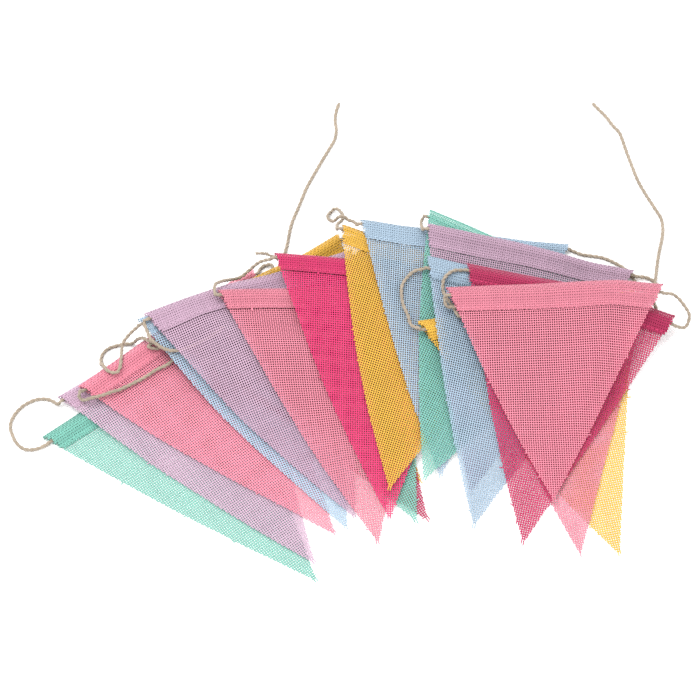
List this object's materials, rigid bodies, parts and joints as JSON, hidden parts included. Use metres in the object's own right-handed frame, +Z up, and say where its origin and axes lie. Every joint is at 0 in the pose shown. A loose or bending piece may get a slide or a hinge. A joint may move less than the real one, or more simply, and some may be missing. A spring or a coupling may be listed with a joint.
{
  "type": "fabric bunting of mesh pennants on jute twine",
  "caption": "Loose pile of triangular open-weave pennants in pastel and bright colours, each with a folded casing at its top edge, threaded on one jute twine with two free ends.",
  "frame": {"origin": "bottom centre of the box round the pennants, on the surface that they lie on", "axes": "+X along the fan of pennants to the right, +Y towards the twine's free ends, +Z up from the surface"},
  "size_m": [0.4801, 0.3862, 0.0384],
  "materials": {
    "mesh_pink": "open plain-weave mesh, matt",
    "mesh_crimson": "open plain-weave mesh, matt",
    "mesh_yellow": "open plain-weave mesh, matt",
    "mesh_blue": "open plain-weave mesh, matt",
    "mesh_mint": "open plain-weave mesh, matt",
    "mesh_lilac": "open plain-weave mesh, matt",
    "jute": "twisted jute, matt and hairy"
  },
  "bodies": {
    "root": {"pennant_mint_1": "mesh_mint", "pennant_lilac_1": "mesh_lilac", "pennant_pink_1": "mesh_pink", "pennant_yellow_1": "mesh_yellow", "pennant_crimson_1": "mesh_crimson", "pennant_blue_1": "mesh_blue", "pennant_mint_2": "mesh_mint", "pennant_lilac_2": "mesh_lilac", "pennant_pink_2": "mesh_pink", "pennant_crimson_2": "mesh_crimson", "pennant_yellow_2": "mesh_yellow", "pennant_blue_2": "mesh_blue", "pennant_mint_3": "mesh_mint", "pennant_lilac_3": "mesh_lilac", "pennant_yellow_3": "mesh_yellow", "pennant_blue_3": "mesh_blue", "pennant_pink_3": "mesh_pink", "pennant_crimson_3": "mesh_crimson", "pennant_pink_4": "mesh_pink", "twine": "jute"}
  },
  "joints": []
}
